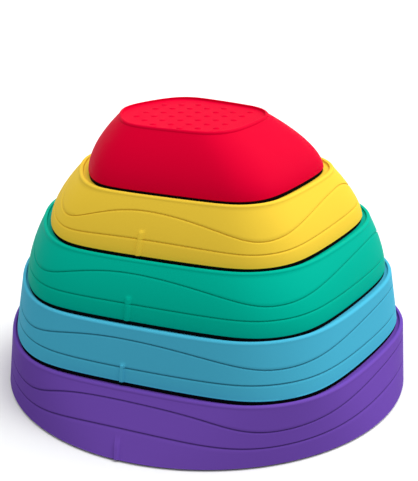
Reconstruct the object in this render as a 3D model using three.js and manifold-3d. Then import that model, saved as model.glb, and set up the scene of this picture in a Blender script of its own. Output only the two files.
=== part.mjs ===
// A nesting stack of five balance stepping stones, each a hollow moulded shell on a rubber foot ring.
// Lengths are in millimetres and +Z is up. The lowest stone stands on the plane z = 0.
import * as THREE from "three";
import Module from "manifold-3d";

const wasm = await Module();
wasm.setup();
const { Manifold, Mesh: SolidMesh } = wasm;

// Overall size: the width of the lowest foot
const STACK_WIDTH = 360;

// Outline of the stones, in shares of the stack's width
// Every outline is a rounded five-cornered pebble. Its corner centres are these points, drawn
// in or out by a spread share, and its corners are rounded with one radius.
const LEFT_CORNER_SHARES = [-0.2013, -0.0498];
const FRONT_CORNER_SHARES = [0.0827, -0.1623];
const RIGHT_CORNER_SHARES = [0.2014, 0.0239];
const BACK_CORNER_SHARES = [-0.0657, 0.1955];
const BACK_LEFT_CORNER_SHARES = [-0.2124, 0.0874];
const SIDE_BULGE_SHARE = 0.0286;
const CORNERS = [
  LEFT_CORNER_SHARES,
  FRONT_CORNER_SHARES,
  RIGHT_CORNER_SHARES,
  BACK_CORNER_SHARES,
  BACK_LEFT_CORNER_SHARES,
].map(ofWidth);
const SIDE_BULGE = SIDE_BULGE_SHARE * STACK_WIDTH;

// Heights
const LOWEST_SEAT_HEIGHT = 45.9;
const SEAT_PITCH = 48;
const SEAT_GAP = 0.3;
const RING_HEIGHT = 3;
const SKIRT_CLEARANCE = 1.2;

// Lip and platform
const LIP_WIDTH = 3;
const LIP_HEIGHT = 2;
const LIP_ROUND = 2.2;
const LIP_INNER_ROUND = 0.5;
const CHANNEL = 0.9;
const CHANNEL_SHARE = 0.8;
const FLOOR_THICKNESS = 3.2;

// Wall and foot flange
const WALL = 3.4;
const FLANGE_WIDTH = 13;
const FLANGE_THICKNESS = 5.5;
const SKIRT_WIDTH = 4;
const FOOT_ROUND = 0.8;

// Rubber ring
const RING_INSET = 0.4;
const RING_WIDTH = 10;
const TONGUE_WIDTH = 3;
const TONGUE_HEIGHT = 2;
const TONGUE_FIT = 0.3;

// Engraved waves and alignment mark. A wave has a trough at the first of these normal angles,
// a crest at the second, and so on round the stone. The mark stands under the first crest.
const GROOVE_HALF_WIDTH = 0.75;
const GROOVE_DEPTH = 0.7;
const WAVE_NODES = [-147, -114, -75, -18, 26, 70, 116, 164, 213].map(THREE.MathUtils.degToRad);
const MARK_NORMAL = WAVE_NODES[1];
const MARK_RADIUS = 1.6;
const MARK_SUNK = 0.6;

// Underside ribs
const RIB_COUNT = 3;
const RIB_THICKNESS = 2.6;
const RIB_DEPTH = 9;
const RIB_BITE = 1.2;

// Sampling
const COLUMN_COUNT = 40;
const FINE_COUNT = 1440;

// Stones from the ground up: the outlines of the foot and of the brow where the lip starts, the
// bend of the wall between them, the height of the alignment mark and the two waves as shares of
// the wall's height. Radii and shifts are shares of the stack's width.
const STONES = [
  {
    name: "purple", colour: 0x6f45b4, bend: 1, markHeight: 13,
    upperWave: { midShare: 0.723, swingShare: 0.138 },
    lowerWave: { midShare: 0.385, swingShare: 0.068 },
    foot: outlineOf({ spreadShare: 0, radiusShare: 0.5, shiftShares: [0, 0] }),
    brow: outlineOf({ spreadShare: 0.9147, radiusShare: 0.3091, shiftShares: [0.0074, 0.0003] }),
  },
  {
    name: "blue", colour: 0x3fa9d2, bend: 1.06, markHeight: 16,
    upperWave: { midShare: 0.68, swingShare: 0.13 },
    lowerWave: { midShare: 0.283, swingShare: -0.008 },
    foot: outlineOf({ spreadShare: 1.0817, radiusShare: 0.2601, shiftShares: [0.0058, -0.0063] }),
    brow: outlineOf({ spreadShare: 0.943, radiusShare: 0.2697, shiftShares: [0.0053, 0.0064] }),
  },
  {
    name: "green", colour: 0x00b498, bend: 1.69, markHeight: 20,
    upperWave: { midShare: 0.672, swingShare: 0.146 },
    lowerWave: { midShare: 0.307, swingShare: 0.007 },
    foot: outlineOf({ spreadShare: 1.1184, radiusShare: 0.2184, shiftShares: [0.0043, -0.0027] }),
    brow: outlineOf({ spreadShare: 0.9006, radiusShare: 0.223, shiftShares: [0.0039, 0.0242] }),
  },
  {
    name: "yellow", colour: 0xf2c53a, bend: 1.46, markHeight: 21,
    upperWave: { midShare: 0.619, swingShare: 0.169 },
    lowerWave: { midShare: 0.272, swingShare: 0.032 },
    foot: outlineOf({ spreadShare: 0.97, radiusShare: 0.1873, shiftShares: [0.0033, 0.0129] }),
    brow: outlineOf({ spreadShare: 0.7767, radiusShare: 0.1508, shiftShares: [0.0019, -0.0046] }),
  },
  {
    name: "red", colour: 0xdc0030, bend: 1.63, markHeight: 0,
    foot: outlineOf({ spreadShare: 0.7693, radiusShare: 0.1266, shiftShares: [0.0007, -0.0172] }),
    brow: outlineOf({ spreadShare: 0.3815, radiusShare: 0.1009, shiftShares: [-0.03, -0.0006] }),
  },
];

function ofWidth(shares) {
  return shares.map((share) => share * STACK_WIDTH);
}

function outlineOf({ spreadShare, radiusShare, shiftShares }) {
  return {
    spread: spreadShare,
    radius: radiusShare * STACK_WIDTH,
    shift: ofWidth(shiftShares),
  };
}

// Point of an outline whose outward normal has the given angle: the corner centres are weighed by
// how far they reach along that normal, and the corner radius is added along it.
function outlinePoint(angle, { spread, radius, shift }) {
  const normal = [Math.cos(angle), Math.sin(angle)];
  const reach = CORNERS.map(([x, y]) => (x * normal[0] + y * normal[1]) / SIDE_BULGE);
  const most = Math.max(...reach);
  const weight = reach.map((r) => Math.exp(r - most));
  const total = weight.reduce((a, b) => a + b);
  const share = weight.map((w) => w / total);
  const x = CORNERS.reduce((sum, corner, i) => sum + share[i] * corner[0], 0);
  const y = CORNERS.reduce((sum, corner, i) => sum + share[i] * corner[1], 0);
  return [
    shift[0] + spread * x + radius * normal[0],
    shift[1] + spread * y + radius * normal[1],
  ];
}

// Share of the way round an outline, from the normal angle 0 up to a normal angle: the mean of
// path length and turning, in turns
function wayRound(outline) {
  const lengths = [0];
  let last = outlinePoint(0, outline);
  for (let i = 1; i <= FINE_COUNT; i += 1) {
    const point = outlinePoint((i / FINE_COUNT) * 2 * Math.PI, outline);
    lengths.push(lengths[i - 1] + Math.hypot(point[0] - last[0], point[1] - last[1]));
    last = point;
  }
  return (angle) => {
    const turned = angle / (2 * Math.PI);
    const whole = Math.floor(turned);
    const place = (turned - whole) * FINE_COUNT;
    const step = Math.floor(place);
    const next = lengths[Math.min(step + 1, FINE_COUNT)];
    const length = lengths[step] + (place - step) * (next - lengths[step]);
    return (whole + length / lengths[FINE_COUNT] + turned) / 2;
  };
}

// Normal angles of the columns, spaced evenly on the way round
function columnAngles(outline) {
  const way = wayRound(outline);
  const even = Array.from({ length: FINE_COUNT + 1 }, (_, i) => way((i / FINE_COUNT) * 2 * Math.PI));
  const picked = [];
  let at = 0;
  for (let k = 0; k < COLUMN_COUNT; k += 1) {
    while (even[at + 1] <= k / COLUMN_COUNT) at += 1;
    const share = (k / COLUMN_COUNT - even[at]) / (even[at + 1] - even[at]);
    picked.push(((at + share) / FINE_COUNT) * 2 * Math.PI);
  }
  return picked;
}

const COLUMNS = columnAngles(STONES[1].foot);

// Outline grown outwards or inwards by a length
function grown({ spread, radius, shift }, length) {
  return { spread, radius: radius + length, shift };
}

// Outline between two outlines
function between(a, b, share) {
  return {
    spread: a.spread + share * (b.spread - a.spread),
    radius: a.radius + share * (b.radius - a.radius),
    shift: a.shift.map((from, k) => from + share * (b.shift[k] - from)),
  };
}

// A closed body from rows of columns. A row is an outline at one height, or a function of the
// normal angle that returns both. A body without end points is a ring closed on itself.
function loft(rows, columns, endPoints) {
  const vertices = [];
  const triangles = [];
  const count = columns.length;
  rows.forEach((row) => {
    columns.forEach((angle) => {
      const { outline, z } = typeof row === "function" ? row(angle) : row;
      const [x, y] = outlinePoint(angle, outline);
      vertices.push(x, y, z);
    });
  });
  const bands = endPoints ? rows.length - 1 : rows.length;
  for (let r = 0; r < bands; r += 1) {
    const next = (r + 1) % rows.length;
    for (let c = 0; c < count; c += 1) {
      const d = (c + 1) % count;
      triangles.push(r * count + c, r * count + d, next * count + d);
      triangles.push(r * count + c, next * count + d, next * count + c);
    }
  }
  if (endPoints) {
    const first = vertices.length / 3;
    vertices.push(0, 0, endPoints[0], 0, 0, endPoints[1]);
    const lastRow = (rows.length - 1) * count;
    for (let c = 0; c < count; c += 1) {
      const d = (c + 1) % count;
      triangles.push(first, d, c);
      triangles.push(first + 1, lastRow + c, lastRow + d);
    }
  }
  return solidFrom(vertices, triangles);
}

function solidFrom(vertices, triangles) {
  return new Manifold(new SolidMesh({
    numProp: 3,
    vertProperties: Float32Array.from(vertices),
    triVerts: Uint32Array.from(triangles),
  }));
}

// Outline of the recess in the top: between the closest fit round the stone above and the
// narrowest lip
function recessOf(index) {
  const inner = grown(STONES[index].brow, -LIP_WIDTH);
  if (index + 1 === STONES.length) return inner;
  return between(grown(STONES[index + 1].foot, CHANNEL), inner, CHANNEL_SHARE);
}

// Heights and outlines of one stone
function planOf(index) {
  const stone = STONES[index];
  const seat = LOWEST_SEAT_HEIGHT + index * SEAT_PITCH;
  const onGround = index === 0;
  const ringBottom = onGround ? 0 : seat - SEAT_PITCH + SEAT_GAP;
  return {
    ...stone,
    seat,
    ringBottom,
    ringTop: ringBottom + RING_HEIGHT,
    edge: onGround ? SKIRT_CLEARANCE : ringBottom + RING_HEIGHT,
    skirt: onGround ? SKIRT_WIDTH : 0,
    crest: seat + LIP_HEIGHT,
    wallTop: seat + LIP_HEIGHT - LIP_ROUND,
    recess: recessOf(index),
  };
}

// Outer wall at a share of its height: bulging, steep at the foot and leaning in at the lip
function wallRow(plan, share, sunk = 0) {
  const outline = between(plan.foot, plan.brow, share ** plan.bend);
  return { outline: grown(outline, -sunk), z: plan.edge + share * (plan.wallTop - plan.edge) };
}

// The same wall at a height
function wallAt(plan, z, sunk) {
  return wallRow(plan, (z - plan.edge) / (plan.wallTop - plan.edge), sunk);
}

// Wave between -1 in its troughs and 1 on its crests, half a cosine of the way between two nodes
function waveOf(plan) {
  const way = wayRound(plan.foot);
  return (column) => {
    const angle = column < WAVE_NODES.at(-1) ? column : column - 2 * Math.PI;
    const next = WAVE_NODES.findIndex((node) => node > angle);
    const start = way(WAVE_NODES[next - 1]);
    const share = (way(angle) - start) / (way(WAVE_NODES[next]) - start);
    const sign = next % 2 === 1 ? -1 : 1;
    return sign * Math.cos(share * Math.PI);
  };
}

function grooveRows(plan) {
  const half = GROOVE_HALF_WIDTH / (plan.crest - plan.edge);
  const { upperWave, lowerWave } = plan;
  const wave = waveOf(plan);
  const row = (pick, sunk = 0) => (angle) => {
    const rise = wave(angle);
    const lower = lowerWave.midShare + lowerWave.swingShare * rise;
    const upper = upperWave.midShare + upperWave.swingShare * rise;
    return wallRow(plan, pick(lower, upper), sunk);
  };
  return [
    row((lower) => lower / 2),
    row((lower) => lower - half),
    row((lower) => lower, GROOVE_DEPTH),
    row((lower) => lower + half),
    row((lower, upper) => (lower + upper) / 2),
    row((lower, upper) => upper - half),
    row((lower, upper) => upper, GROOVE_DEPTH),
    row((lower, upper) => upper + half),
    row((lower, upper) => (1 + upper) / 2),
  ];
}

function plainWallRows(plan) {
  return [1 / 4, 1 / 2, 3 / 4].map((share) => wallRow(plan, share));
}

// Rounded lip from the top of the outer wall over the crest to the platform
function lipRows(plan) {
  const outer = [1 / 3, 2 / 3, 1].map((share) => {
    const turn = share * Math.PI / 2;
    return {
      outline: grown(plan.brow, -LIP_ROUND * (1 - Math.cos(turn))),
      z: plan.wallTop + LIP_ROUND * Math.sin(turn),
    };
  });
  return [
    ...outer,
    { outline: grown(plan.recess, LIP_INNER_ROUND), z: plan.crest },
    { outline: plan.recess, z: plan.crest - LIP_INNER_ROUND },
    { outline: plan.recess, z: plan.seat },
  ];
}

// Inside of the shell, from under the platform down the wall to the foot flange
function insideRows(plan) {
  const ceiling = plan.seat - FLOOR_THICKNESS;
  const flangeTop = plan.ringTop + FLANGE_THICKNESS;
  return [
    wallAt(plan, ceiling, WALL),
    wallAt(plan, (2 * ceiling + flangeTop) / 3, WALL),
    wallAt(plan, (ceiling + 2 * flangeTop) / 3, WALL),
    wallAt(plan, flangeTop, WALL),
    { outline: grown(plan.foot, -FLANGE_WIDTH), z: flangeTop },
    { outline: grown(plan.foot, -FLANGE_WIDTH), z: plan.ringTop },
  ];
}

// Where the tongue of the ring sits under the flange, as distances in from the foot outline
function tonguePlace(plan) {
  const outer = plan.skirt + RING_INSET + (RING_WIDTH - TONGUE_WIDTH) / 2;
  return { outer, inner: outer + TONGUE_WIDTH };
}

// Underside of the foot with the groove that takes the tongue
function undersideRows(plan) {
  const { outer, inner } = tonguePlace(plan);
  const roof = plan.ringTop + TONGUE_HEIGHT + TONGUE_FIT;
  const edgeIn = (length, z) => ({ outline: grown(plan.foot, -length), z });
  const rows = [
    edgeIn(inner + TONGUE_FIT, plan.ringTop),
    edgeIn(inner + TONGUE_FIT, roof),
    edgeIn(outer - TONGUE_FIT, roof),
    edgeIn(outer - TONGUE_FIT, plan.ringTop),
  ];
  if (plan.skirt > 0) {
    rows.push(edgeIn(plan.skirt, plan.ringTop), edgeIn(plan.skirt, plan.edge));
  }
  rows.push(edgeIn(FOOT_ROUND, plan.edge));
  return rows;
}

// Raised upright mark on the wall, a half-sunk bar with a domed top
function alignmentMark(plan) {
  const sides = 8;
  const height = plan.markHeight;
  const levels = [0, height / 2, height - MARK_RADIUS, height];
  const radii = [MARK_RADIUS, MARK_RADIUS, MARK_RADIUS, MARK_RADIUS / 3];
  const vertices = [];
  const triangles = [];
  levels.forEach((level, i) => {
    const { outline, z } = wallAt(plan, plan.edge + level, MARK_SUNK);
    const [x, y] = outlinePoint(MARK_NORMAL, outline);
    for (let k = 0; k < sides; k += 1) {
      const turn = MARK_NORMAL + (k / sides) * 2 * Math.PI;
      vertices.push(x + radii[i] * Math.cos(turn), y + radii[i] * Math.sin(turn), z);
    }
  });
  for (let r = 0; r + 1 < levels.length; r += 1) {
    for (let k = 0; k < sides; k += 1) {
      const m = (k + 1) % sides;
      triangles.push(r * sides + k, r * sides + m, (r + 1) * sides + m);
      triangles.push(r * sides + k, (r + 1) * sides + m, (r + 1) * sides + k);
    }
  }
  const lastRow = (levels.length - 1) * sides;
  for (let k = 1; k + 1 < sides; k += 1) {
    triangles.push(0, k + 1, k);
    triangles.push(lastRow, lastRow + k, lastRow + k + 1);
  }
  return solidFrom(vertices, triangles);
}

// Crossed stiffening ribs under the platform, trimmed to end inside the wall
function undersideRibs(plan) {
  const ceiling = plan.seat - FLOOR_THICKNESS;
  const bottom = ceiling - RIB_DEPTH;
  const height = RIB_DEPTH + RIB_BITE;
  const core = loft([
    wallAt(plan, bottom, WALL - RIB_BITE),
    wallAt(plan, ceiling + RIB_BITE, WALL - RIB_BITE),
  ], COLUMNS, [bottom, ceiling + RIB_BITE]);
  const plate = Manifold.cube([STACK_WIDTH, RIB_THICKNESS, height], true);
  const plates = Array.from({ length: RIB_COUNT }, (_, i) => plate
    .rotate([0, 0, (i * 180) / RIB_COUNT])
    .translate([0, 0, bottom + height / 2]));
  return Manifold.union(plates).intersect(core);
}

function shellSolid(plan) {
  const wall = plan.upperWave ? grooveRows(plan) : plainWallRows(plan);
  const rows = [
    ...insideRows(plan),
    ...undersideRows(plan),
    wallAt(plan, plan.edge + FOOT_ROUND, 0),
    ...wall,
    wallRow(plan, 1),
    ...lipRows(plan),
  ];
  const ceiling = plan.seat - FLOOR_THICKNESS;
  let solid = loft(rows, COLUMNS, [ceiling, plan.seat]).add(undersideRibs(plan));
  if (plan.markHeight > 0) solid = solid.add(alignmentMark(plan));
  return solid;
}

// Flat rubber ring with a tongue that stands up into the groove of the flange
function ringSolid(plan) {
  const { outer, inner } = tonguePlace(plan);
  const start = plan.skirt + RING_INSET;
  const edgeIn = (length, z) => ({ outline: grown(plan.foot, -length), z });
  return loft([
    edgeIn(start, plan.ringBottom),
    edgeIn(start, plan.ringTop),
    edgeIn(outer, plan.ringTop),
    edgeIn(outer, plan.ringTop + TONGUE_HEIGHT),
    edgeIn(inner, plan.ringTop + TONGUE_HEIGHT),
    edgeIn(inner, plan.ringTop),
    edgeIn(start + RING_WIDTH, plan.ringTop),
    edgeIn(start + RING_WIDTH, plan.ringBottom),
  ], COLUMNS, null);
}

function geometryOf(solid) {
  const mesh = solid.getMesh();
  const positions = new Float32Array(mesh.numVert * 3);
  for (let i = 0; i < mesh.numVert; i += 1) {
    for (let k = 0; k < 3; k += 1) {
      positions[3 * i + k] = mesh.vertProperties[mesh.numProp * i + k];
    }
  }
  const geometry = new THREE.BufferGeometry();
  geometry.setAttribute("position", new THREE.BufferAttribute(positions, 3));
  geometry.setIndex(new THREE.BufferAttribute(Uint32Array.from(mesh.triVerts), 1));
  geometry.computeVertexNormals();
  return geometry;
}

function shellMaterial(plan) {
  return new THREE.MeshStandardMaterial({ color: plan.colour, roughness: 0.45, metalness: 0 });
}

function rubberMaterial() {
  return new THREE.MeshStandardMaterial({ color: 0x121212, roughness: 0.8, metalness: 0 });
}

function stoneGroup(index) {
  const plan = planOf(index);
  const shell = new THREE.Mesh(geometryOf(shellSolid(plan)), shellMaterial(plan));
  shell.name = `${plan.name}_shell`;
  const ring = new THREE.Mesh(geometryOf(ringSolid(plan)), rubberMaterial());
  ring.name = `${plan.name}_foot_ring`;
  const group = new THREE.Group();
  group.name = `${plan.name}_stone`;
  group.add(shell, ring);
  return group;
}

const stack = new THREE.Group();
stack.name = "stepping_stone_stack";
STONES.forEach((_, index) => stack.add(stoneGroup(index)));

export default stack;
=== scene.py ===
import math

import bpy
import numpy as np
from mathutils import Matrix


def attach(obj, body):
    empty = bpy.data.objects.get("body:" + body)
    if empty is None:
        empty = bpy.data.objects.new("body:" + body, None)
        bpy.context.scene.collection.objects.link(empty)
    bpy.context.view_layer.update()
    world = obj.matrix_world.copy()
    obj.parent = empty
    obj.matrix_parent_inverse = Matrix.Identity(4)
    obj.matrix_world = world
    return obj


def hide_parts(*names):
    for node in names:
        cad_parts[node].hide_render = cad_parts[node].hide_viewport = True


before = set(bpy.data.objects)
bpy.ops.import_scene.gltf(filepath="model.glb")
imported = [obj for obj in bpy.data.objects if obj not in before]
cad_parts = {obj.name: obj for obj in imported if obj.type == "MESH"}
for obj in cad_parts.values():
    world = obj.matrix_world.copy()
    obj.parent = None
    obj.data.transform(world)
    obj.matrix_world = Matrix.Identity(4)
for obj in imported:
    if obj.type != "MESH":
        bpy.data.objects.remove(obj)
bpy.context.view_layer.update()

METRES = 0.001

# Width of the lowest foot, which the outline shares below refer to
STACK_WIDTH = 360.0

# Outline corners (left, front, right, back, back left), as centres drawn in or out by a spread
# share and rounded with one radius
CORNER_SHARES = np.array([
    [-0.2013, -0.0498],
    [0.0827, -0.1623],
    [0.2014, 0.0239],
    [-0.0657, 0.1955],
    [-0.2124, 0.0874],
])
CORNERS = CORNER_SHARES * STACK_WIDTH

# How softly the sides run from corner to corner: straight at zero
SIDE_BULGE_SHARE = 0.0286
SIDE_BULGE = SIDE_BULGE_SHARE * STACK_WIDTH

# Heights
LOWEST_SEAT = 45.9
SEAT_PITCH = 48.0
SEAT_GAP = 0.3
RING_HEIGHT = 3.0
SKIRT_CLEARANCE = 1.2

# Lip and platform
LIP_WIDTH = 3.0
LIP_HEIGHT = 2.0
LIP_ROUND = 2.2
LIP_INNER_ROUND = 0.5
RECESS_ROUND = 0.6
PLATFORM_THICKNESS = 3.2

# The recess lies this share of the way from a channel close round the stone above to the lip
CHANNEL = 0.9
CHANNEL_SHARE = 0.8

# Wall and foot flange
WALL = 3.4
FLANGE_WIDTH = 13.0
FLANGE_THICKNESS = 5.5
SKIRT_WIDTH = 4.0
FOOT_ROUND = 0.8

# Rubber ring
RING_INSET = 0.4
RING_WIDTH = 10.0
RING_ROUND = 0.35
TONGUE_WIDTH = 3.0
TONGUE_HEIGHT = 2.0
TONGUE_FIT = 0.3
TREAD_GROOVE_DEPTH = 0.5
TREAD_GROOVE_COUNT = 4
TREAD_MARGIN = 2 * RING_ROUND

# Half widths of a tread groove at its mouth and at its bottom, as shares of the grooves' pitch
TREAD_MOUTH_SHARE = 0.3
TREAD_BOTTOM_SHARE = 0.15

# Groove of an engraved wave: its heights below and above the deepest line, and its depth
GROOVE_BELOW = 0.9
GROOVE_ABOVE = 0.8
GROOVE_DEPTH = 1.0

# Normal angles of a wave's troughs and crests in turn, once round the stone from a trough
WAVE_NODES = np.array([-147.0, -114.0, -75.0, -18.0, 26.0, 70.0, 116.0, 164.0, 213.0])

# Alignment mark, which stands close to the first crest
MARK_NORMAL = -113.6
MARK_HALF_WIDTH = 1.7
MARK_SOFT = 0.8
MARK_PROUD = 1.9

# How far the crowded columns reach to either side of the mark, and the cosine of the normal angle
# within which a point can lie on it
MARK_REACH = 3.6
MARK_NEAR = 0.8

# Underside ribs
RIB_COUNT = 3
RIB_THICKNESS = 2.6
RIB_DEPTH = 9.0
RIB_BITE = 1.2
RIB_CHAMFER = 0.5

# Anti-slip studs on the platforms: low domes, drawn at these shares of their height, the first
# sunk into the platform, and sought as far out as the field reaches
STUD_PITCH = 15.0
STUD_RADIUS = 3.0
STUD_HEIGHT = 0.8
STUD_MARGIN = 9.0
STUD_LIFTS = (-0.2, 0.0, 0.45, 0.8, 0.96)
STUD_SIDES = 14
STUD_FIELD_REACH = 200.0

# Fineness of the meshes: columns round a stone, then rows of the wall, of its inside and of the
# rounded edges, and angles in the fine outlines that places are read from
SHELL_COLUMNS = 360
RING_COLUMNS = 300
MARK_COLUMNS = 25
ROWS_BELOW_WAVES = 8
ROWS_ACROSS_WAVE = 12
ROWS_BETWEEN_WAVES = 18
ROWS_ABOVE_WAVES = 10
PLAIN_WALL_ROWS = 29
INSIDE_ROWS = 12
LIP_STEPS = 9
LIP_INNER_STEPS = 5
RECESS_STEPS = 4
FOOT_STEPS = 5
RING_STEPS = 3
WAY_ANGLES = 7201
RIM_ANGLES = 1441
FIELD_ANGLES = 361

# Degrees left out of a rounded edge next to the wall, whose last row stands there already
ROUND_SKIP = 9

# Shares of the reach from the middle at which rings of points lie on the platform and under it
PLATFORM_SHARES = (0.9, 0.7, 0.45, 0.2)
CEILING_SHARES = (0.25, 0.6, 0.9)

# Edges sharper than this angle stay sharp
SHARP_ANGLE = 35.0

# Stones from the ground up: bend of the wall, height of the mark, middle and swing of the two
# waves as shares of the wall's height, and outlines of foot and brow as the spread share, then
# radius and shift as shares of the stack's width
STONES = [
    {"name": "purple", "bend": 1.0, "mark_height": 13.0,
     "upper_wave_shares": (0.723, 0.138), "lower_wave_shares": (0.385, 0.068),
     "foot_shares": (0, 0.5, 0, 0), "brow_shares": (0.9147, 0.3091, 0.0074, 0.0003)},
    {"name": "blue", "bend": 1.06, "mark_height": 16.0,
     "upper_wave_shares": (0.68, 0.13), "lower_wave_shares": (0.283, -0.008),
     "foot_shares": (1.0817, 0.2601, 0.0058, -0.0063),
     "brow_shares": (0.943, 0.2697, 0.0053, 0.0064)},
    {"name": "green", "bend": 1.69, "mark_height": 20.0,
     "upper_wave_shares": (0.672, 0.146), "lower_wave_shares": (0.307, 0.007),
     "foot_shares": (1.1184, 0.2184, 0.0043, -0.0027),
     "brow_shares": (0.9006, 0.223, 0.0039, 0.0242)},
    {"name": "yellow", "bend": 1.46, "mark_height": 21.0,
     "upper_wave_shares": (0.619, 0.169), "lower_wave_shares": (0.272, 0.032),
     "foot_shares": (0.97, 0.1873, 0.0033, 0.0129),
     "brow_shares": (0.7767, 0.1508, 0.0019, -0.0046)},
    {"name": "red", "bend": 1.63, "mark_height": 0.0,
     "foot_shares": (0.7693, 0.1266, 0.0007, -0.0172),
     "brow_shares": (0.3815, 0.1009, -0.03, -0.0006)},
]

# Strength of the mirror reflection, below that of a polished plastic
SHEEN = 0.01

# Moulded skins: roughness, size of the grain and its strength
PLASTIC_SKIN = (0.5, 1400.0, 0.06)
RUBBER_SKIN = (0.8, 2200.0, 0.12)

# Slow drift of the tone over a part: size, detail and the lowest and highest tone
DRIFT_SCALE = 9.0
DRIFT_DETAIL = 2.0
DRIFT_TONES = (0.965, 1.03)

# Uneven gloss as from handling: size, detail and the change of roughness to either side
WIPE_SCALE = 45.0
WIPE_DETAIL = 4.0
WIPE_CHANGE = 0.05

# Detail of the grain, and its height in metres
GRAIN_DETAIL = 3.0
GRAIN_HEIGHT = 0.0003

# Painted shade at the bottom of the engraved grooves: the tone there as a share of the wall's
GROOVE_PAINTED_SHADES = {"purple": 0.6, "blue": 0.5, "green": 0.82, "yellow": 0.9, "red": 1.0}

# Floor paint, as seen and as it lights the stones
FLOOR_SEEN = 0.88
FLOOR_SHED = 0.3

# Half width of the floor and its gap under the stones, in metres, and its roughness
FLOOR_REACH = 6.0
FLOOR_DROP = 0.0002
FLOOR_ROUGHNESS = 0.9

# Plastic colours, linear light
COLOURS = {
    "purple": (0.146, 0.063, 0.388),
    "blue": (0.066, 0.440, 0.630),
    "green": (0.000, 0.420, 0.300),
    "yellow": (0.880, 0.600, 0.050),
    "red": (0.680, 0.000, 0.028),
}
RUBBER_COLOUR = (0.003, 0.003, 0.004)

# Lights: azimuth and elevation in degrees, breadth in radians and strength
KEY = (18.0, 47.0, 1.1, 2.4)
TOP = (-90.0, 80.0, 0.9, 0.95)

# Sky, as seen and as it lights the stones
SKY_SEEN = 1.0
SKY_SHED = 0.6

# Camera: elevation, distance from the aim point, height of that point, focal length in pixels
# and the place of the aim point in the photograph's 418 x 481 frame
CAMERA_ELEVATION = 20.97
CAMERA_DISTANCE = 1008.7
CAMERA_AIM_HEIGHT = 124.2
FOCAL_PIXELS = 1134.5
AIM_COLUMN = 207.0
FRAME_WIDTH = 418
FRAME_HEIGHT = 481
SENSOR = 36.0

# Nearest distance that the camera sees, in metres
CAMERA_NEAR = 0.01


def turn(angles):
    """Unit vectors at angles in radians."""
    return np.stack([np.cos(angles), np.sin(angles)], -1)


def outline(angles, shape):
    """Outline points whose outward normals have these angles: shift + spread * (corner centres
    weighed by exp(reach along the normal / side bulge)) + radius * normal."""
    normal = turn(angles)
    reach = normal @ CORNERS.T / SIDE_BULGE
    weight = np.exp(reach - reach.max(1, keepdims=True))
    weight /= weight.sum(1, keepdims=True)
    shape = np.broadcast_to(shape, (len(angles), 4))
    spread, radius, shift = shape[:, :1], shape[:, 1:2], shape[:, 2:]
    return shift + spread * (weight @ CORNERS) + radius * normal


def grown(shape, length):
    """Outline shape grown outwards by a length, which may differ from column to column."""
    return np.asarray(shape) + np.multiply.outer(length, [0, 1, 0, 0])


def azimuths(points):
    """Angle of each point about the origin, in radians."""
    return np.arctan2(points[:, 1], points[:, 0])


def shape_of(index, key):
    """Outline shape of a stone's foot or brow in millimetres."""
    return np.array(STONES[index][key]) * [1, STACK_WIDTH, STACK_WIDTH, STACK_WIDTH]


def plan_of(index):
    """Heights and outlines of one stone."""
    seat = LOWEST_SEAT + index * SEAT_PITCH
    grounded = index == 0
    ring_bottom = 0.0 if grounded else seat - SEAT_PITCH + SEAT_GAP
    brow = shape_of(index, "brow_shares")
    recess = grown(brow, -LIP_WIDTH)
    studded = grown(recess, -STUD_MARGIN)
    if index + 1 < len(STONES):
        above = shape_of(index + 1, "foot_shares")
        close = grown(above, CHANNEL)
        recess = close + CHANNEL_SHARE * (recess - close)
        studded = grown(above, -RING_INSET - RING_WIDTH - STUD_MARGIN)
    return {
        **STONES[index],
        "foot": shape_of(index, "foot_shares"),
        "brow": brow,
        "seat": seat,
        "ring_bottom": ring_bottom,
        "ring_top": ring_bottom + RING_HEIGHT,
        "edge": SKIRT_CLEARANCE if grounded else ring_bottom + RING_HEIGHT,
        "skirt": SKIRT_WIDTH if grounded else 0.0,
        "crest": seat + LIP_HEIGHT,
        "top": seat + LIP_HEIGHT - LIP_ROUND,
        "recess": recess,
        "studded": studded,
    }


def way_round(fine, foot):
    """Share of the way round an outline up to each of these normal angles, which go once round:
    the mean of path length and turning."""
    steps = np.linalg.norm(np.diff(outline(fine, foot), axis=0), axis=1)
    path = np.concatenate([[0], np.cumsum(steps)])
    return (path / path[-1] + (fine - fine[0]) / (2 * math.pi)) / 2


def path_angles(foot, count):
    """Normal angles spaced evenly on the way round."""
    fine = np.linspace(0, 2 * math.pi, WAY_ANGLES)
    return np.interp(np.arange(count) / count, way_round(fine, foot), fine)


def columns_of(plan, count):
    """All column angles of a stone, crowded across its mark."""
    angles = path_angles(plan["foot"], count)
    if plan["mark_height"]:
        half_turn = np.degrees(MARK_REACH / plan["foot"][1])
        close = MARK_NORMAL + half_turn * np.linspace(-1, 1, MARK_COLUMNS)
        close = np.radians(close) % (2 * math.pi)
        clear = (angles < close.min()) | (angles > close.max())
        angles = np.sort(np.concatenate([angles[clear], close]))
    return angles


def ring_of(angles, shape, z):
    """Points of one outline at a height, which may differ from column to column."""
    points = outline(angles, shape)
    return np.column_stack([points, np.broadcast_to(z, angles.shape)])


def smooth_step(value):
    """0 below 0, 1 above 1, and 3 v^2 - 2 v^3 between."""
    value = np.clip(value, 0, 1)
    return value * value * (3 - 2 * value)


def mark_mask(plan, angles, z):
    """1 on the raised mark and 0 off it, soft at its sides and top."""
    if not plan["mark_height"]:
        return np.zeros_like(angles)
    place = np.radians([MARK_NORMAL])
    offset = outline(angles, plan["foot"]) - outline(place, plan["foot"])
    across = np.abs(offset @ turn(place + math.pi / 2)[0])
    near = turn(angles) @ turn(place)[0] > MARK_NEAR
    side = smooth_step((MARK_HALF_WIDTH + MARK_SOFT / 2 - across) / MARK_SOFT)
    end = smooth_step((plan["edge"] + plan["mark_height"] - z) / (2 * MARK_SOFT))
    return side * end * near


def wall_shape(plan, share):
    """Wall outline at a share of its height: from foot to brow as share^bend."""
    change = plan["brow"] - plan["foot"]
    return plan["foot"] + np.multiply.outer(share ** plan["bend"], change)


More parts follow.
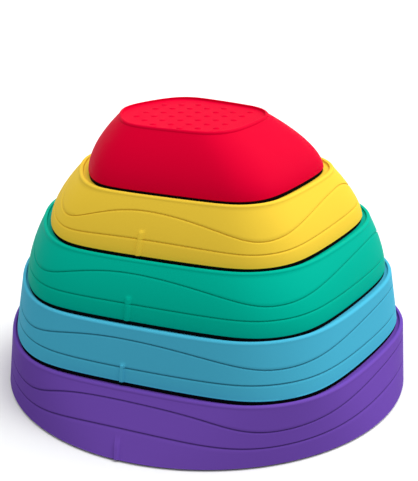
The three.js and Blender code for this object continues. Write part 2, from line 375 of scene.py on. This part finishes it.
def wall_row(plan, angles, share, sunk=0.0):
    """Wall points at a share of its height, less the depth of a groove, plus the raised mark, and
    how deep each point lies in the groove."""
    share = np.broadcast_to(share, angles.shape)
    z = plan["edge"] + share * (plan["top"] - plan["edge"])
    mark = mark_mask(plan, angles, z)
    depth = sunk * (1 - mark)
    shape = grown(wall_shape(plan, share), MARK_PROUD * mark - depth)
    return ring_of(angles, shape, z), depth


def wave_shares(plan, angles):
    """Height shares of the lower and upper waves: middle + swing * wave, and the wave is
    -cos(pi * t) where t grows by one from node to node, evenly on the way round the foot."""
    first = math.radians(WAVE_NODES[0])
    fine = np.linspace(first, first + 2 * math.pi, WAY_ANGLES)
    way = way_round(fine, plan["foot"])
    nodes = np.interp(np.radians(WAVE_NODES), fine, way)
    place = np.interp(first + (angles - first) % (2 * math.pi), fine, way)
    wave = -np.cos(math.pi * np.interp(place, nodes, np.arange(len(nodes))))
    low, low_swing = plan["lower_wave_shares"]
    high, high_swing = plan["upper_wave_shares"]
    return low + low_swing * wave, high + high_swing * wave


def wall_rows(plan, angles):
    """Rows of the outer wall with their depths in the grooves, crowded across each engraved wave,
    where the groove is depth * smooth step of the share of each flank."""
    height = plan["top"] - plan["edge"]
    start = FOOT_ROUND / height
    if "upper_wave_shares" not in plan:
        shares = start + (1 - start) * np.linspace(0, 1, PLAIN_WALL_ROWS)
        return zip(*[wall_row(plan, angles, share) for share in shares])
    below, above = GROOVE_BELOW / height, GROOVE_ABOVE / height
    deepest = GROOVE_BELOW / (GROOVE_BELOW + GROOVE_ABOVE)
    lower, upper = wave_shares(plan, angles)
    spans = [
        (start, lower - below, ROWS_BELOW_WAVES, 0.0),
        (lower - below, lower + above, ROWS_ACROSS_WAVE, GROOVE_DEPTH),
        (lower + above, upper - below, ROWS_BETWEEN_WAVES, 0.0),
        (upper - below, upper + above, ROWS_ACROSS_WAVE, GROOVE_DEPTH),
        (upper + above, 1.0, ROWS_ABOVE_WAVES, 0.0),
    ]
    rows = []
    for low, high, count, depth in spans:
        for t in np.arange(count) / count:
            sunk = depth * smooth_step(min(t / deepest, (1 - t) / (1 - deepest)))
            rows.append(wall_row(plan, angles, low + (high - low) * t, sunk))
    rows.append(wall_row(plan, angles, 1.0))
    return zip(*rows)


def round_rows(angles, shape, z, radius, start, end, steps):
    """Rows of a rounded edge about this outline and height: radius * (cosine outwards, sine up)
    from the start to the end angle."""
    rows = []
    for turned in np.radians(np.linspace(start, end, steps + 1)):
        row = grown(shape, radius * math.cos(turned))
        rows.append(ring_of(angles, row, z + radius * math.sin(turned)))
    return rows


def lip_rows(plan, angles):
    """The rounded lip, the wall of the recess and the platform up to its middle."""
    crest, seat = plan["crest"], plan["seat"]
    outer = grown(plan["brow"], -LIP_ROUND)
    rows = round_rows(angles, outer, crest - LIP_ROUND, LIP_ROUND, ROUND_SKIP, 90, LIP_STEPS)
    inner = grown(plan["recess"], LIP_INNER_ROUND)
    rows += round_rows(
        angles, inner, crest - LIP_INNER_ROUND, LIP_INNER_ROUND, 90, 180, LIP_INNER_STEPS)
    low = grown(plan["recess"], -RECESS_ROUND)
    rows += round_rows(angles, low, seat + RECESS_ROUND, RECESS_ROUND, 0, -90, RECESS_STEPS)
    edge = rows[-1]
    middle = np.array([0, 0, seat])
    rows += [middle + (edge - middle) * share for share in PLATFORM_SHARES]
    return rows


def inside_rows(plan, angles):
    """Rows from under the platform down the inside of the wall to the foot flange."""
    ceiling = plan["seat"] - PLATFORM_THICKNESS
    flange = plan["ring_top"] + FLANGE_THICKNESS
    rows = []
    for z in np.linspace(ceiling, flange, INSIDE_ROWS):
        share = (z - plan["edge"]) / (plan["top"] - plan["edge"])
        rows.append(ring_of(angles, grown(wall_shape(plan, share), -WALL), z))
    middle = np.array([0, 0, ceiling])
    rows = [middle + (rows[0] - middle) * share for share in CEILING_SHARES] + rows
    rows.append(ring_of(angles, grown(plan["foot"], -FLANGE_WIDTH), flange))
    rows.append(ring_of(angles, grown(plan["foot"], -FLANGE_WIDTH), plan["ring_top"]))
    return rows


def tongue_place(plan):
    """How far in from the foot outline the tongue of the ring starts and ends."""
    outer = plan["skirt"] + RING_INSET + (RING_WIDTH - TONGUE_WIDTH) / 2
    return outer, outer + TONGUE_WIDTH


def underside_rows(plan, angles):
    """The flange's underside with the groove for the tongue, and the rounded foot edge."""
    outer, inner = tongue_place(plan)
    roof = plan["ring_top"] + TONGUE_HEIGHT + TONGUE_FIT
    steps = [
        (inner + TONGUE_FIT, plan["ring_top"]),
        (inner + TONGUE_FIT, roof),
        (outer - TONGUE_FIT, roof),
        (outer - TONGUE_FIT, plan["ring_top"]),
    ]
    if plan["skirt"] > 0:
        steps += [(plan["skirt"], plan["ring_top"]), (plan["skirt"], plan["edge"])]
    rows = [ring_of(angles, grown(plan["foot"], -length), z) for length, z in steps]
    centre = grown(plan["foot"], -FOOT_ROUND)
    height = plan["edge"] + FOOT_ROUND
    rows += round_rows(angles, centre, height, FOOT_ROUND, -90, -ROUND_SKIP, FOOT_STEPS)
    return rows


def lofted(rows, closed=False, low=None, high=None):
    """Vertices and faces of a surface through rows of points: closed on itself, or with a pole
    at each end."""
    count = len(rows[0])
    vertices = np.concatenate(rows)
    column = np.arange(count)
    after = (column + 1) % count
    faces = []
    bands = len(rows) if closed else len(rows) - 1
    for r in range(bands):
        here, there = r * count, ((r + 1) % len(rows)) * count
        quads = np.stack([here + column, here + after, there + after, there + column], -1)
        faces += quads.tolist()
    if not closed:
        base = len(vertices)
        vertices = np.concatenate([vertices, [low, high]])
        last = (len(rows) - 1) * count
        faces += [(base, int(d), int(c)) for c, d in zip(column, after)]
        faces += [(base + 1, last + int(c), last + int(d)) for c, d in zip(column, after)]
    return vertices, faces


def rib_plates(plan):
    """Crossed plates under the platform, each a chamfered bar that ends inside the wall."""
    ceiling = plan["seat"] - PLATFORM_THICKNESS
    bottom = ceiling - RIB_DEPTH
    share = (ceiling - plan["edge"]) / (plan["top"] - plan["edge"])
    shape = grown(wall_shape(plan, share), RIB_BITE - WALL)
    rim = outline(np.linspace(-math.pi, math.pi, RIM_ANGLES), shape)
    rim_azimuth = np.unwrap(azimuths(rim))
    rim_reach = np.linalg.norm(rim, axis=1)
    half = RIB_THICKNESS / 2
    section = np.array([
        (-half, ceiling + RIB_BITE),
        (-half, bottom + RIB_CHAMFER),
        (RIB_CHAMFER - half, bottom),
        (half - RIB_CHAMFER, bottom),
        (half, bottom + RIB_CHAMFER),
        (half, ceiling + RIB_BITE),
    ])
    islands = []
    for k in range(RIB_COUNT):
        angle = math.pi * k / RIB_COUNT
        along, across = turn(np.array([angle, angle + math.pi / 2]))
        ends = []
        for way, sign in ((angle, 1), (angle - math.pi, -1)):
            turned = (way - rim_azimuth[0]) % (2 * math.pi) + rim_azimuth[0]
            ends.append(sign * np.interp(turned, rim_azimuth, rim_reach))
        rows = []
        for end in ends:
            flat = along * end + section[:, :1] * across
            rows.append(np.column_stack([flat, section[:, 1]]))
        caps = [row.mean(0) for row in rows]
        islands.append(lofted(rows, low=caps[0], high=caps[1]))
    return islands


def stud_field(plan):
    """Low domes in a triangular grid on the platform, clear of the stone that stands on it: a
    dome's radius is stud radius * sqrt(1 - lift^2)."""
    angles = np.linspace(0, 2 * math.pi, FIELD_ANGLES)
    rim = outline(angles, plan["studded"])
    normal = turn(angles)
    limit = (rim * normal).sum(1)
    reach = int(STUD_FIELD_REACH / STUD_PITCH)
    around = turn(np.arange(STUD_SIDES) * 2 * math.pi / STUD_SIDES)
    islands = []
    for j in range(-reach, reach + 1):
        for i in range(-reach, reach + 1):
            place = STUD_PITCH * np.array([i + (j % 2) / 2, j * math.sqrt(3) / 2])
            if np.any(normal @ place > limit):
                continue
            rows = []
            for lift in STUD_LIFTS:
                wide = STUD_RADIUS * math.sqrt(1 - max(lift, 0.0) ** 2)
                z = np.full(STUD_SIDES, plan["seat"] + STUD_HEIGHT * lift)
                rows.append(np.column_stack([place + wide * around, z]))
            low = [*place, rows[0][0, 2]]
            high = [*place, plan["seat"] + STUD_HEIGHT]
            islands.append(lofted(rows, low=low, high=high))
    return islands


def mesh_object(name, islands, material):
    """One mesh object, in metres, from several closed surfaces."""
    vertices = []
    faces = []
    base = 0
    for points, polygons in islands:
        vertices.append(points)
        faces += [[base + v for v in polygon] for polygon in polygons]
        base += len(points)
    mesh = bpy.data.meshes.new(name)
    mesh.from_pydata((np.concatenate(vertices) * METRES).tolist(), [], faces)
    mesh.polygons.foreach_set("use_smooth", np.ones(len(mesh.polygons), dtype=bool))
    mesh.set_sharp_from_angle(angle=math.radians(SHARP_ANGLE))
    mesh.materials.append(material)
    mesh.update()
    made = bpy.data.objects.new(name, mesh)
    bpy.context.scene.collection.objects.link(made)
    return made


def shell_object(plan, material):
    """The moulded shell of one stone, with its ribs and studs. Its attribute engraved is the square
    root of the share of the groove's depth, 0 off the waves, and the skin darkens the colour by it
    as painted shade in the grooves."""
    angles = columns_of(plan, SHELL_COLUMNS)
    hidden = inside_rows(plan, angles) + underside_rows(plan, angles)
    wall, depths = wall_rows(plan, angles)
    rows = hidden + list(wall) + lip_rows(plan, angles)
    ceiling = plan["seat"] - PLATFORM_THICKNESS
    skin = lofted(rows, low=[0, 0, ceiling], high=[0, 0, plan["seat"]])
    islands = [skin] + rib_plates(plan) + stud_field(plan)
    made = mesh_object(f"{plan['name']}_moulded_shell", islands, material)
    depths = np.sqrt(np.concatenate(depths) / GROOVE_DEPTH)
    engraved = np.zeros(len(made.data.vertices))
    start = len(hidden) * len(angles)
    engraved[start:start + len(depths)] = depths
    made.data.attributes.new("engraved", "FLOAT", "POINT").data.foreach_set("value", engraved)
    return made


def ring_object(plan, material):
    """The rubber foot ring with rounded edges, its tongue and the fine grooves underneath."""
    angles = path_angles(plan["foot"], RING_COLUMNS)
    outer, inner = tongue_place(plan)
    start = plan["skirt"] + RING_INSET
    end = start + RING_WIDTH
    bottom, top = plan["ring_bottom"], plan["ring_top"]
    rows = []

    def corner(length, z, first, last):
        shape = grown(plan["foot"], -length)
        rows.extend(round_rows(angles, shape, z, RING_ROUND, first, last, RING_STEPS))

    def point(length, z):
        rows.append(ring_of(angles, grown(plan["foot"], -length), z))

    corner(start + RING_ROUND, bottom + RING_ROUND, -90, 0)
    corner(start + RING_ROUND, top - RING_ROUND, 0, 90)
    point(outer, top)
    point(outer, top + TONGUE_HEIGHT)
    point(inner, top + TONGUE_HEIGHT)
    point(inner, top)
    corner(end - RING_ROUND, top - RING_ROUND, 90, 180)
    corner(end - RING_ROUND, bottom + RING_ROUND, 180, 270)
    pitch = (RING_WIDTH - 2 * TREAD_MARGIN) / TREAD_GROOVE_COUNT
    for k in reversed(range(TREAD_GROOVE_COUNT)):
        middle = start + TREAD_MARGIN + pitch * (k + 0.5)
        point(middle + pitch * TREAD_MOUTH_SHARE, bottom)
        point(middle + pitch * TREAD_BOTTOM_SHARE, bottom + TREAD_GROOVE_DEPTH)
        point(middle - pitch * TREAD_BOTTOM_SHARE, bottom + TREAD_GROOVE_DEPTH)
        point(middle - pitch * TREAD_MOUTH_SHARE, bottom)
    return mesh_object(f"{plan['name']}_rubber_ring", [lofted(rows, closed=True)], material)


def new_group(name, inputs, outputs):
    """A node group with these titles and kinds of sockets, and its input and output nodes."""
    group = bpy.data.node_groups.new(name, "ShaderNodeTree")
    for way, sockets in (("INPUT", inputs), ("OUTPUT", outputs)):
        for title, kind in sockets:
            group.interface.new_socket(title, in_out=way, socket_type=kind)
    return group, group.nodes.new("NodeGroupInput"), group.nodes.new("NodeGroupOutput")


def moulded_skin_group():
    """Skin of a moulded part: faint tone drift, painted shade darkening the floors of the engraved
    grooves, uneven gloss and a fine spark-eroded grain."""
    group, given, out = new_group(
        "moulded_skin",
        [("Colour", "NodeSocketColor"), ("Groove painted shade", "NodeSocketFloat"),
         ("Roughness", "NodeSocketFloat"), ("Grain size", "NodeSocketFloat"),
         ("Grain strength", "NodeSocketFloat")],
        [("Colour", "NodeSocketColor"), ("Roughness", "NodeSocketFloat"),
         ("Normal", "NodeSocketVector")])
    nodes, links = group.nodes, group.links
    place = nodes.new("ShaderNodeTexCoord")

    drift = nodes.new("ShaderNodeTexNoise")
    drift.inputs["Scale"].default_value = DRIFT_SCALE
    drift.inputs["Detail"].default_value = DRIFT_DETAIL
    links.new(place.outputs["Object"], drift.inputs["Vector"])
    tone = nodes.new("ShaderNodeMapRange")
    tone.inputs["To Min"].default_value = DRIFT_TONES[0]
    tone.inputs["To Max"].default_value = DRIFT_TONES[1]
    links.new(drift.outputs["Fac"], tone.inputs["Value"])
    tinted = nodes.new("ShaderNodeMix")
    tinted.data_type = "RGBA"
    tinted.blend_type = "MULTIPLY"
    tinted.inputs["Factor"].default_value = 1.0
    links.new(given.outputs["Colour"], tinted.inputs["A"])
    links.new(tone.outputs["Result"], tinted.inputs["B"])

    # Painted shade in the engraved grooves: the colour is multiplied down towards the given share
    # where a groove is deepest
    depth = nodes.new("ShaderNodeAttribute")
    depth.attribute_name = "engraved"
    shade = nodes.new("ShaderNodeMapRange")
    shade.inputs["To Min"].default_value = 1.0
    links.new(given.outputs["Groove painted shade"], shade.inputs["To Max"])
    links.new(depth.outputs["Fac"], shade.inputs["Value"])
    shaded = nodes.new("ShaderNodeMix")
    shaded.data_type = "RGBA"
    shaded.blend_type = "MULTIPLY"
    shaded.inputs["Factor"].default_value = 1.0
    links.new(tinted.outputs["Result"], shaded.inputs["A"])
    links.new(shade.outputs["Result"], shaded.inputs["B"])
    links.new(shaded.outputs["Result"], out.inputs["Colour"])

    wipe = nodes.new("ShaderNodeTexNoise")
    wipe.inputs["Scale"].default_value = WIPE_SCALE
    wipe.inputs["Detail"].default_value = WIPE_DETAIL
    links.new(place.outputs["Object"], wipe.inputs["Vector"])
    uneven = nodes.new("ShaderNodeMapRange")
    uneven.inputs["To Min"].default_value = -WIPE_CHANGE
    uneven.inputs["To Max"].default_value = WIPE_CHANGE
    links.new(wipe.outputs["Fac"], uneven.inputs["Value"])
    roughness = nodes.new("ShaderNodeMath")
    roughness.operation = "ADD"
    links.new(given.outputs["Roughness"], roughness.inputs[0])
    links.new(uneven.outputs["Result"], roughness.inputs[1])
    links.new(roughness.outputs["Value"], out.inputs["Roughness"])

    grain = nodes.new("ShaderNodeTexNoise")
    grain.inputs["Detail"].default_value = GRAIN_DETAIL
    links.new(place.outputs["Object"], grain.inputs["Vector"])
    links.new(given.outputs["Grain size"], grain.inputs["Scale"])
    bump = nodes.new("ShaderNodeBump")
    bump.inputs["Distance"].default_value = GRAIN_HEIGHT
    links.new(given.outputs["Grain strength"], bump.inputs["Strength"])
    links.new(grain.outputs["Fac"], bump.inputs["Height"])
    links.new(bump.outputs["Normal"], out.inputs["Normal"])
    return group


def skinned_material(name, group, colour, groove_painted_shade, skin):
    """A Principled material that takes colour, roughness and normal from the skin group."""
    roughness, grain_size, grain_strength = skin
    material = bpy.data.materials.new(name)
    material.use_nodes = True
    nodes, links = material.node_tree.nodes, material.node_tree.links
    shader = nodes["Principled BSDF"]
    shader.inputs["Specular IOR Level"].default_value = SHEEN
    use = nodes.new("ShaderNodeGroup")
    use.node_tree = group
    use.inputs["Colour"].default_value = (*colour, 1.0)
    use.inputs["Groove painted shade"].default_value = groove_painted_shade
    use.inputs["Roughness"].default_value = roughness
    use.inputs["Grain size"].default_value = grain_size
    use.inputs["Grain strength"].default_value = grain_strength
    links.new(use.outputs["Colour"], shader.inputs["Base Color"])
    links.new(use.outputs["Roughness"], shader.inputs["Roughness"])
    links.new(use.outputs["Normal"], shader.inputs["Normal"])
    return material


def build_stones():
    """All shells and rings, each riding on its stone and standing for its CAD node."""
    group = moulded_skin_group()
    rubber = skinned_material("ring_rubber", group, RUBBER_COLOUR, 1.0, RUBBER_SKIN)
    for index, stone in enumerate(STONES):
        plan = plan_of(index)
        name = stone["name"]
        # Each plastic darkens its engraved grooves with painted shade
        plastic = skinned_material(
            f"{name}_plastic", group, COLOURS[name], GROOVE_PAINTED_SHADES[name], PLASTIC_SKIN)
        shell = shell_object(plan, plastic)
        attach(shell, f"{name}_stone")
        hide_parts(f"{name}_shell")
        ring = ring_object(plan, rubber)
        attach(ring, f"{name}_stone")
        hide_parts(f"{name}_foot_ring")


def seen_or_shed(tree, seen, shed):
    """Colour socket with one grey where a surface is seen, also in a mirror or through glass, and
    another where it sheds light on the stones."""
    nodes, links = tree.nodes, tree.links
    path = nodes.new("ShaderNodeLightPath")
    rays = path.outputs["Is Camera Ray"]
    for kind in ("Is Glossy Ray", "Is Transmission Ray"):
        either = nodes.new("ShaderNodeMath")
        either.operation = "MAXIMUM"
        links.new(rays, either.inputs[0])
        links.new(path.outputs[kind], either.inputs[1])
        rays = either.outputs["Value"]
    grey = nodes.new("ShaderNodeMix")
    grey.data_type = "RGBA"
    grey.inputs["A"].default_value = (shed, shed, shed, 1.0)
    grey.inputs["B"].default_value = (seen, seen, seen, 1.0)
    links.new(rays, grey.inputs["Factor"])
    return grey.outputs["Result"]


def floor_material():
    """Matt paint, pale as seen and greyer in the light that it sheds on the stones."""
    material = bpy.data.materials.new("floor_paint")
    material.use_nodes = True
    tree = material.node_tree
    shader = tree.nodes["Principled BSDF"]
    shader.inputs["Roughness"].default_value = FLOOR_ROUGHNESS
    shader.inputs["Specular IOR Level"].default_value = 0.0
    grey = seen_or_shed(tree, FLOOR_SEEN, FLOOR_SHED)
    tree.links.new(grey, shader.inputs["Base Color"])
    return material


def build_floor():
    """A plain pale floor, which the sky meets far off in the same white."""
    corners = [(-1, -1), (1, -1), (1, 1), (-1, 1)]
    vertices = [(FLOOR_REACH * x, FLOOR_REACH * y, -FLOOR_DROP) for x, y in corners]
    mesh = bpy.data.meshes.new("floor")
    mesh.from_pydata(vertices, [], [(0, 1, 2, 3)])
    mesh.materials.append(floor_material())
    floor = bpy.data.objects.new("floor", mesh)
    bpy.context.scene.collection.objects.link(floor)


def sun_light(name, azimuth, elevation, breadth, strength):
    """An even light from one direction, as broad as a softbox."""
    light = bpy.data.lights.new(name, "SUN")
    light.energy = strength
    light.angle = breadth
    lamp = bpy.data.objects.new(name, light)
    lamp.rotation_euler = (math.radians(90.0 - elevation), 0.0, math.radians(azimuth + 90.0))
    bpy.context.scene.collection.objects.link(lamp)


def build_lights():
    """A broad key from the right, a weaker softbox overhead and an even sky."""
    sun_light("key", *KEY)
    sun_light("top", *TOP)
    world = bpy.data.worlds.new("sky")
    world.use_nodes = True
    tree = world.node_tree
    tree.links.new(seen_or_shed(tree, SKY_SEEN, SKY_SHED), tree.nodes["Background"].inputs["Color"])
    bpy.context.scene.world = world


def build_camera():
    """The photograph's viewpoint: lens = focal pixels * sensor / long side."""
    camera = bpy.data.cameras.new("camera")
    camera.sensor_width = SENSOR
    camera.lens = FOCAL_PIXELS * SENSOR / FRAME_HEIGHT
    camera.shift_x = (FRAME_WIDTH / 2 - AIM_COLUMN) / FRAME_HEIGHT
    camera.clip_start = CAMERA_NEAR
    tilt = math.radians(CAMERA_ELEVATION)
    seen = bpy.data.objects.new("camera", camera)
    seen.location = (
        0.0,
        -CAMERA_DISTANCE * math.cos(tilt) * METRES,
        (CAMERA_AIM_HEIGHT + CAMERA_DISTANCE * math.sin(tilt)) * METRES,
    )
    seen.rotation_euler = (math.pi / 2 - tilt, 0.0, 0.0)
    bpy.context.scene.collection.objects.link(seen)
    bpy.context.scene.camera = seen


build_stones()
build_floor()
build_lights()
build_camera()
bpy.context.scene.view_settings.view_transform = "Standard"
